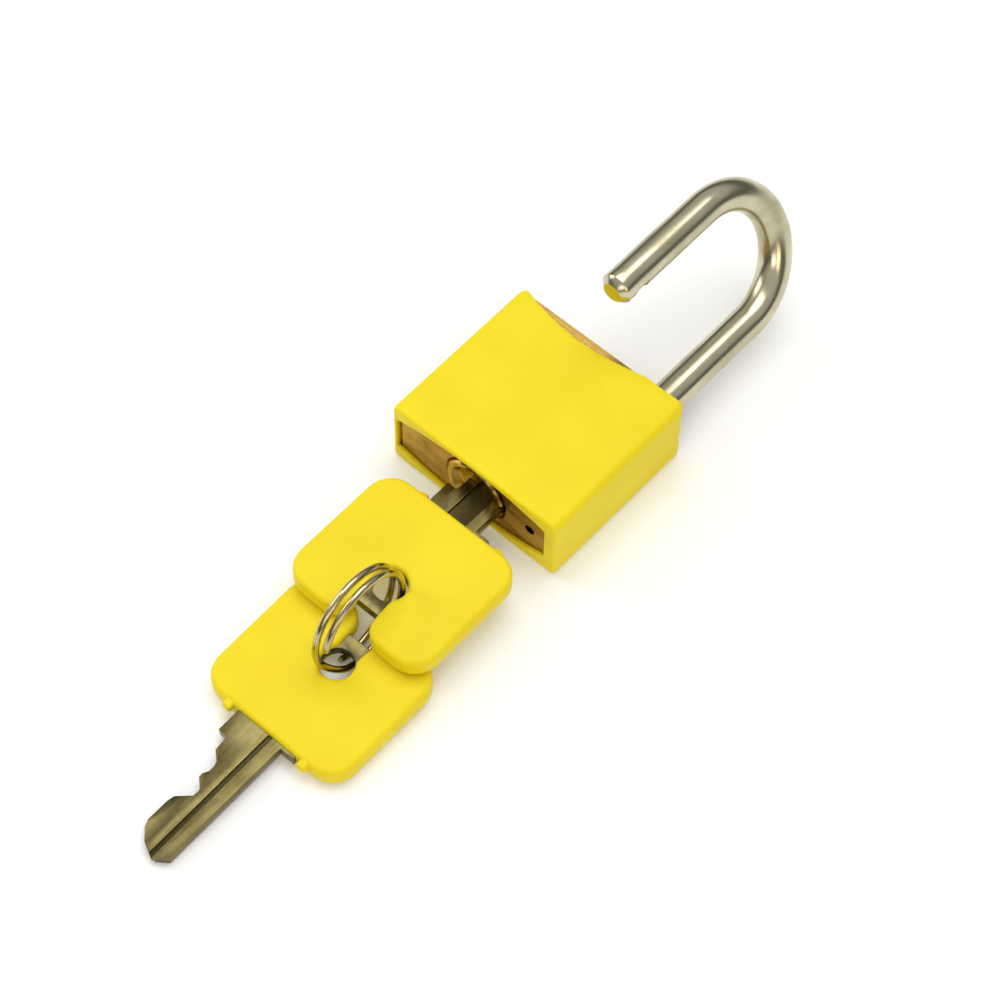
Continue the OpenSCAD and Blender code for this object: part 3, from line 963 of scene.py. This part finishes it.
# ---------------------------------------------------------------- carried-over nodes
def dress_cad_nodes(replaced):
    """Every CAD node that is kept gets the material of its slot."""
    slots = {part["node"]: part["material_slot"] for part in frame["record"]["subparts"]}
    for node, obj in frame["nodes"].items():
        if node in replaced:
            continue
        obj.data.materials.clear()
        obj.data.materials.append(MATERIALS[slots[node]])


# ---------------------------------------------------------------- stage, light, camera
def build_stage():
    """A wide paper floor, a hair below the parts that rest on it."""
    size = 3000.0
    points = [(-size, -size, 0), (size, -size, 0), (size, size, 0), (-size, size, 0)]
    floor = new_object("stage_floor", points, [(0, 1, 2, 3)])
    floor.location.z = -HAIR * MM
    floor.data.materials.append(paper_floor())


def soft_light(name, place, aim, size, power, colour=(1.0, 1.0, 1.0)):
    """A rectangular area light at place, facing aim."""
    data = bpy.data.lights.new(name, "AREA")
    data.shape = "RECTANGLE"
    data.size = size[0] * MM
    data.size_y = size[1] * MM
    data.energy = power
    data.color = colour
    obj = bpy.data.objects.new(name, data)
    obj.location = Vector(place) * MM
    direction = (Vector(aim) - Vector(place)).normalized()
    obj.rotation_euler = direction.to_track_quat("-Z", "Y").to_euler()
    bpy.context.scene.collection.objects.link(obj)


def build_light():
    """A pale studio with a dark band above the horizon for the metal to reflect, and four lights."""
    world = bpy.data.worlds.new("studio")
    bpy.context.scene.world = world
    world.use_nodes = True
    tree = world.node_tree
    coords = tree.nodes.new("ShaderNodeTexCoord")
    split = tree.nodes.new("ShaderNodeSeparateXYZ")
    ramp = tree.nodes.new("ShaderNodeValToRGB")
    tree.links.new(coords.outputs["Generated"], split.inputs["Vector"])
    remap = tree.nodes.new("ShaderNodeMapRange")
    remap.inputs["From Min"].default_value = -1.0
    tree.links.new(split.outputs["Z"], remap.inputs["Value"])
    tree.links.new(remap.outputs["Result"], ramp.inputs["Fac"])
    stops = ramp.color_ramp
    stops.elements[0].position = 0.0
    stops.elements[0].color = (0.55, 0.55, 0.53, 1)
    stops.elements[1].position = 1.0
    stops.elements[1].color = (1.0, 1.0, 1.0, 1)
    for place, value in ((0.5, 0.42), (0.56, 0.17), (0.66, 0.26), (0.74, 0.8)):
        stop = stops.elements.new(place)
        stop.color = (value, value, value * 0.97, 1)
    back = tree.nodes["Background"]
    back.inputs["Strength"].default_value = 0.62
    tree.links.new(ramp.outputs["Color"], back.inputs["Color"])
    soft_light("top_light", (-60, 120, 620), (0, -10, 0), (520, 420), 1.9)
    soft_light("side_light", (-520, -160, 330), (0, -20, 5), (300, 360), 1.0)
    soft_light("front_light", (300, -520, 300), (0, -20, 5), (300, 240), 0.5)
    soft_light("warm_fill", (520, -250, 230), (0, -30, 5), (260, 260), 0.5, (1.0, 0.82, 0.58))


def build_camera():
    """The main view: from above, past the key end and on the heel's side of the lock."""
    azimuth = math.radians(40.72)
    elevation = math.radians(58.31)
    roll = math.radians(1.17)
    target = Vector((1.52, -11.32, 0.0))
    distance = 531.6
    forward = Vector(
        (
            -math.sin(azimuth) * math.cos(elevation),
            math.cos(azimuth) * math.cos(elevation),
            -math.sin(elevation),
        )
    )
    right = Vector((math.cos(azimuth), math.sin(azimuth), 0.0))
    up = right.cross(forward)
    right_rolled = right * math.cos(roll) + up * math.sin(roll)
    up_rolled = up * math.cos(roll) - right * math.sin(roll)
    data = bpy.data.cameras.new("camera")
    data.sensor_width = 36.0
    data.lens = 112.56
    data.clip_start = 0.01
    data.clip_end = 20.0
    camera = bpy.data.objects.new("camera", data)
    rows = [right_rolled, up_rolled, -forward]
    camera.matrix_world = Matrix.Translation((target - forward * distance) * MM) @ Matrix(
        [[row[i] for row in rows] for i in range(3)]
    ).to_4x4()
    bpy.context.scene.collection.objects.link(camera)
    bpy.context.scene.camera = camera


build_camera()
build_light()
build_stage()
build_jacket()
build_shackle()
build_ring()
for key in (1, 2):
    build_blade(key)
    build_cover(key)
dress_cad_nodes(
    {"jacket", "shackle", "split_ring", "key_1_blade", "key_1_cover", "key_2_blade", "key_2_cover"}
)
bpy.context.scene.view_settings.view_transform = "Standard"
